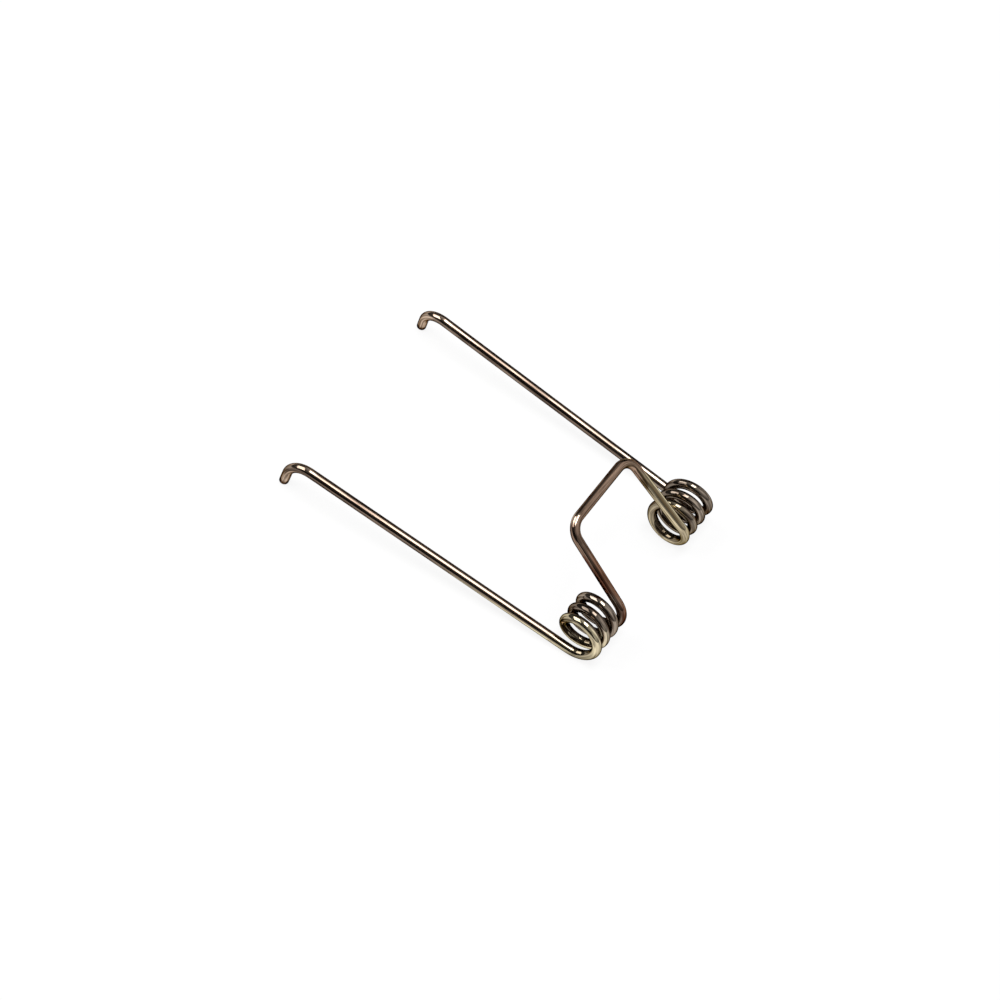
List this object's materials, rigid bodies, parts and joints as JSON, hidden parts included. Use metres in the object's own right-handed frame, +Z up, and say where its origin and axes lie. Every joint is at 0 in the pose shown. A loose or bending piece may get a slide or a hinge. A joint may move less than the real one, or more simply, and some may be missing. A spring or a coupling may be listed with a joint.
{
  "type": "double torsion spring",
  "caption": "Double torsion spring of round wire: open coils on one axis, joined by a U-shaped bridge, with long straight legs that end in short hooks.",
  "frame": {"origin": "on the common axis of the coils, midway between them; the floor that the spring rests on is 3.9 mm below it", "axes": "+X along the coils' axis (the spring mirrors about X = 0), +Y from the coils towards the hooks, +Z up from the floor towards the bridge"},
  "size_m": [0.0372, 0.0545, 0.0163],
  "materials": {
    "spring_steel": "polished, bronze-brown tempering colour, faint drawing marks along the wire"
  },
  "bodies": {
    "root": {"spring_wire": "spring_steel"}
  },
  "joints": []
}
